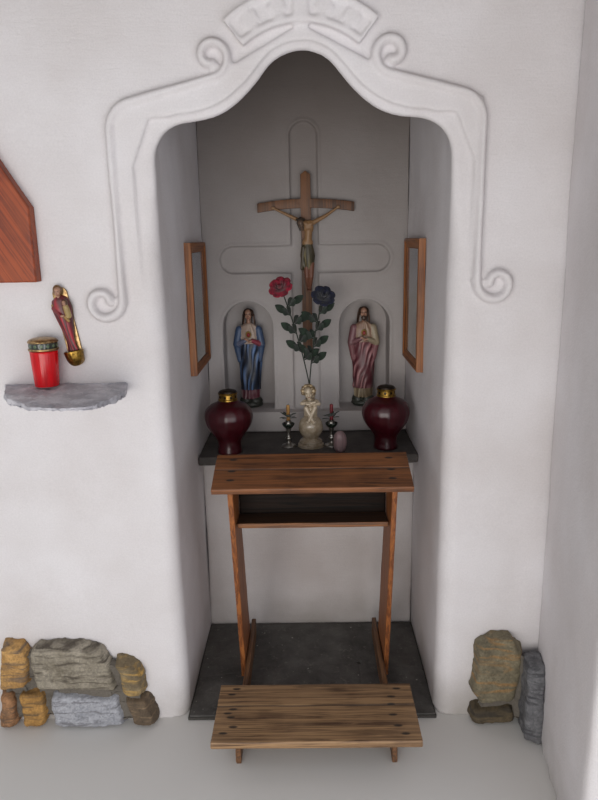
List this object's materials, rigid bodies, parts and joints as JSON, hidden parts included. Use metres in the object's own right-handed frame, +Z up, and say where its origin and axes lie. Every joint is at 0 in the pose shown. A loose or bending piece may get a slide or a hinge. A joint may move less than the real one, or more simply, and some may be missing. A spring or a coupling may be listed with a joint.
{
  "type": "wayside shrine",
  "caption": "White rendered wayside shrine with an ogee niche, stucco scrolls, a slate altar, statues, a crucifix, lamps and a wooden kneeler.",
  "frame": {"origin": "on the ground, on the centre line of the niche, in the plane of the front wall's face", "axes": "+X to the right seen from the front, +Y into the wall, +Z up"},
  "size_m": [2.44, 2.176, 3.1803],
  "materials": {
    "lime_render": "matte",
    "slate": "matte",
    "field_stone": "rough",
    "stained_pine": "satin",
    "dark_wood": "satin",
    "painted_wood": "satin",
    "frame_wood": "satin",
    "grey_timber": "matte",
    "shingle": "matte",
    "painted_plaster": "satin",
    "cream_china": "gloss",
    "ruby_glass": "gloss",
    "gilt_metal": "polished",
    "silver_metal": "satin",
    "wax": "satin",
    "rose_glass": "gloss",
    "red_plastic": "gloss",
    "picture_pane": "gloss",
    "red_cloth": "matte",
    "blue_cloth": "matte"
  },
  "bodies": {
    "root": {"altar_block": "lime_render", "altar_slab": "slate", "arch_head": "lime_render", "blue_rose": "blue_cloth", "book_shelf": "stained_pine", "cartouche": "lime_render", "corpus": "painted_wood", "crucifix": "dark_wood", "front_bargeboards": "grey_timber", "front_gable": "lime_render", "gabled_board": "stained_pine", "grave_candle": "red_plastic", "grave_candle_cap": "gilt_metal", "kneeler_back_board": "stained_pine", "kneeler_desk": "stained_pine", "kneeler_left_runner": "stained_pine", "kneeler_left_side": "stained_pine", "kneeler_right_runner": "stained_pine", "kneeler_right_side": "stained_pine", "kneeling_board": "stained_pine", "ledge": "lime_render", "left_base_stones": "field_stone", "left_candlestick": "silver_metal", "left_frame": "frame_wood", "left_lamp_cap": "gilt_metal", "left_lamp_glass": "ruby_glass", "left_picture": "picture_pane", "left_pier": "lime_render", "left_roof_boards": "grey_timber", "left_shingles": "shingle", "left_small_candle": "wax", "left_statue": "painted_plaster", "left_wall_plate": "grey_timber", "niche_back_wall": "lime_render", "niche_ceiling": "lime_render", "niche_floor": "slate", "rear_bargeboards": "grey_timber", "rear_gable": "lime_render", "red_rose": "red_cloth", "ridge_beam": "grey_timber", "ridge_boards": "grey_timber", "right_base_stones": "field_stone", "right_candlestick": "silver_metal", "right_frame": "frame_wood", "right_lamp_cap": "gilt_metal", "right_lamp_glass": "ruby_glass", "right_picture": "picture_pane", "right_pier": "lime_render", "right_roof_boards": "grey_timber", "right_shingles": "shingle", "right_small_candle": "wax", "right_statue": "painted_plaster", "right_wall_plate": "grey_timber", "slate_shelf": "slate", "small_votive": "rose_glass", "stoup_bowl": "cream_china", "stoup_figure": "painted_plaster", "stucco_surround": "lime_render", "vase_figure": "cream_china", "wing_wall": "lime_render"}
  },
  "joints": []
}
